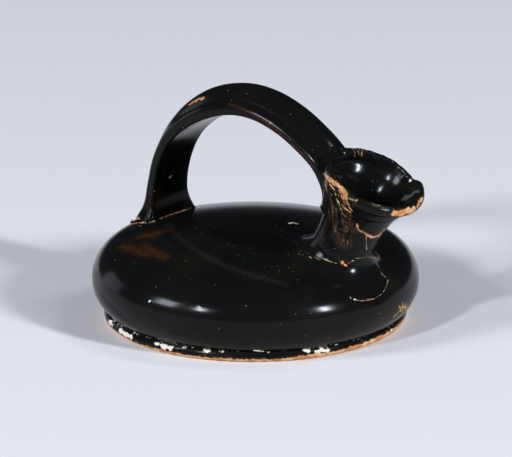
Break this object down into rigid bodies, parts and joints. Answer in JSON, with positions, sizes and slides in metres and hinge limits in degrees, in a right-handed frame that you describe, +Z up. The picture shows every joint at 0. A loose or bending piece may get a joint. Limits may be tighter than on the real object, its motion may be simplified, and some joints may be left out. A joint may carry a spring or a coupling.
{
  "type": "askos",
  "caption": "Low round oil flask of black-glossed fired clay on a ring foot, with a slanting wide-mouthed spout and a strap handle arched over the body to the back of the mouth.",
  "frame": {"origin": "centre of the circle on which the ring foot rests", "axes": "+Z up, +X towards the spout, so that the handle and the spout lie in the plane Y = 0"},
  "size_m": [0.1001, 0.09, 0.0658],
  "materials": {
    "glossed_clay": "soft gloss, near-black clay slip worn to orange clay on edges"
  },
  "bodies": {
    "root": {"askos": "glossed_clay"}
  },
  "joints": []
}
